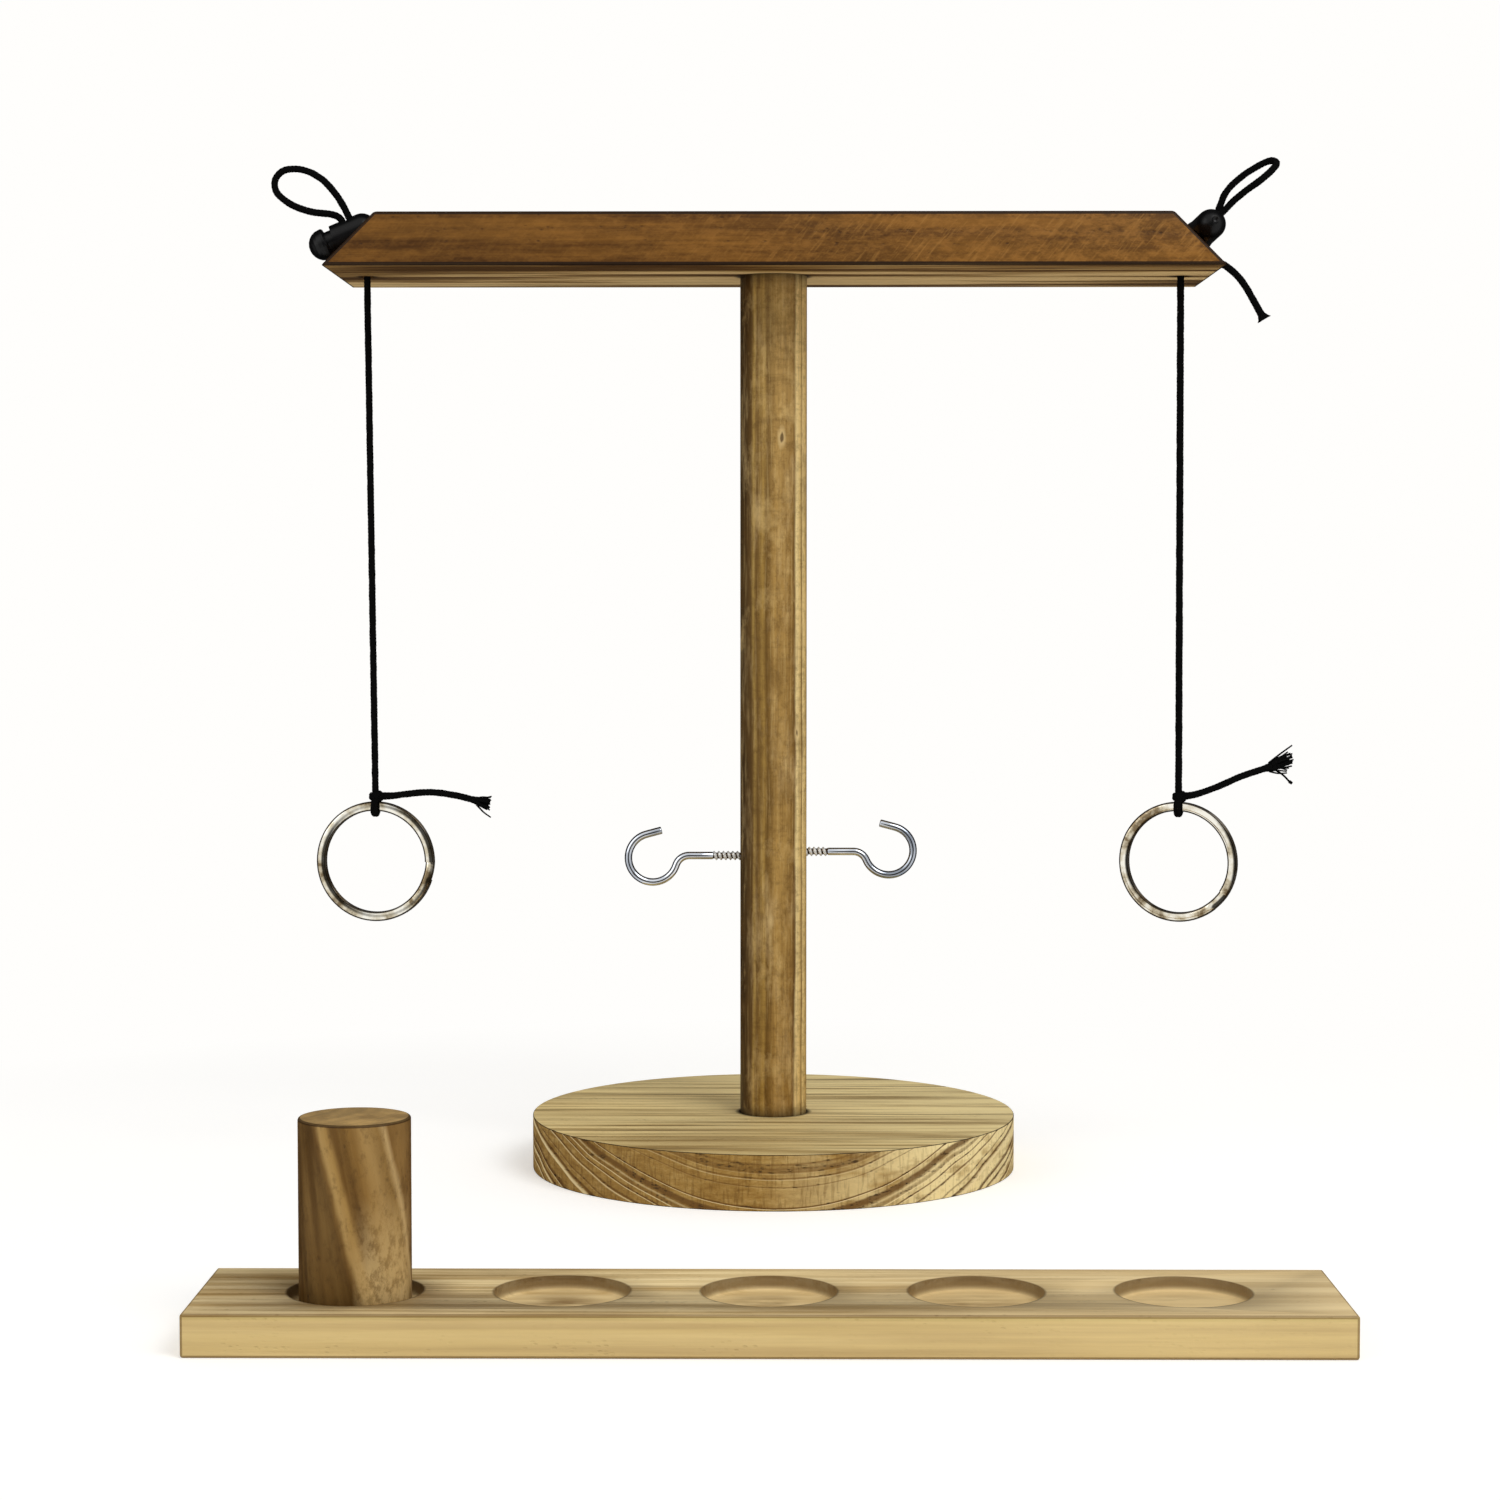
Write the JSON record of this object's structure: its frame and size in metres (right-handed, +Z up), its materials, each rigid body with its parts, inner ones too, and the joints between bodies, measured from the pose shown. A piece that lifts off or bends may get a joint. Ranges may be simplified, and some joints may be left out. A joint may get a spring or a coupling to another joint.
{
  "type": "tabletop hook and ring toss game",
  "caption": "Tabletop hook and ring toss game: a T-shaped wooden stand with rings on cords, screw hooks on its post, and a separate ladder board with a marker peg.",
  "frame": {"origin": "centre of the base disc's underside, on the table", "axes": "+Z up along the post, +X along the crossbeam to the right as seen from the front, -Y towards the ladder board and the player in front"},
  "size_m": [0.3176, 0.322, 0.3127],
  "materials": {
    "light_wood": "satin stain on pine, straight grain",
    "mid_wood": "satin brown stain on turned wood",
    "dark_wood": "satin reddish-brown stain, scratched",
    "board_wood": "light satin stain",
    "screw_steel": "plain bright steel",
    "hook_steel": "bluish zinc plate",
    "ring_nickel": "polished nickel plate",
    "cord": "black braided synthetic cord",
    "lock_plastic": "satin black moulded plastic"
  },
  "bodies": {
    "stand": {"base_disc": "light_wood", "post": "mid_wood", "crossbeam": "dark_wood", "base_screw": "screw_steel", "left_hook": "hook_steel", "right_hook": "hook_steel", "left_top_cord": "cord", "right_top_cord": "cord", "left_lock_barrel": "lock_plastic", "right_lock_barrel": "lock_plastic", "left_lock_spring": "screw_steel", "right_lock_spring": "screw_steel"},
    "left_neck": {"left_cord_neck": "cord"},
    "left_drop": {"left_cord_drop": "cord", "left_ring_knot": "cord", "left_ring_tail": "cord"},
    "left_ring": {"left_ring": "ring_nickel"},
    "right_neck": {"right_cord_neck": "cord"},
    "right_drop": {"right_cord_drop": "cord", "right_ring_knot": "cord", "right_ring_tail": "cord"},
    "right_ring": {"right_ring": "ring_nickel"},
    "left_button": {"left_lock_plunger": "lock_plastic"},
    "right_button": {"right_lock_plunger": "lock_plastic"},
    "board": {"ladder_board": "board_wood"},
    "peg": {"marker_peg": "mid_wood"}
  },
  "joints": [
    {"name": "left_swing_across", "type": "hinge", "parent": "stand", "child": "left_neck", "pos_m": [-0.1255, 0, 0.276], "axis": [0, 1, 0], "range_deg": [-18, 50]},
    {"name": "left_swing_fore_aft", "type": "hinge", "parent": "left_neck", "child": "left_drop", "pos_m": [-0.1255, 0, 0.2705], "axis": [1, 0, 0], "range_deg": [-50, 50]},
    {"name": "left_ring_tilt", "type": "hinge", "parent": "left_drop", "child": "left_ring", "pos_m": [-0.124, 0, 0.1122], "axis": [0.9925, -0.1219, 0], "range_deg": [-75, 75]},
    {"name": "right_swing_across", "type": "hinge", "parent": "stand", "child": "right_neck", "pos_m": [0.1255, 0, 0.276], "axis": [0, 1, 0], "range_deg": [-50, 18]},
    {"name": "right_swing_fore_aft", "type": "hinge", "parent": "right_neck", "child": "right_drop", "pos_m": [0.1255, 0, 0.2705], "axis": [1, 0, 0], "range_deg": [-50, 50]},
    {"name": "right_ring_tilt", "type": "hinge", "parent": "right_drop", "child": "right_ring", "pos_m": [0.126, 0, 0.1122], "axis": [0.9304, -0.3665, 0], "range_deg": [-75, 75]},
    {"name": "left_button_press", "type": "slide", "parent": "stand", "child": "left_button", "axis": [0.9205, 0, 0.3907], "range_m": [0, 0.002], "stiffness_N_per_m": 300, "springref_m": -0.003, "deforming": ["left_lock_spring"]},
    {"name": "right_button_press", "type": "slide", "parent": "stand", "child": "right_button", "axis": [0.18, -0.967, 0.18], "range_m": [0, 0.002], "stiffness_N_per_m": 300, "springref_m": -0.003, "deforming": ["right_lock_spring"]},
    {"name": "board_slide", "type": "slide", "parent": "stand", "child": "board", "axis": [0, -1, 0], "range_m": [0, 0.15]},
    {"name": "peg_lift", "type": "slide", "parent": "board", "child": "peg", "axis": [0, 0, 1], "range_m": [0, 0.06]}
  ]
}
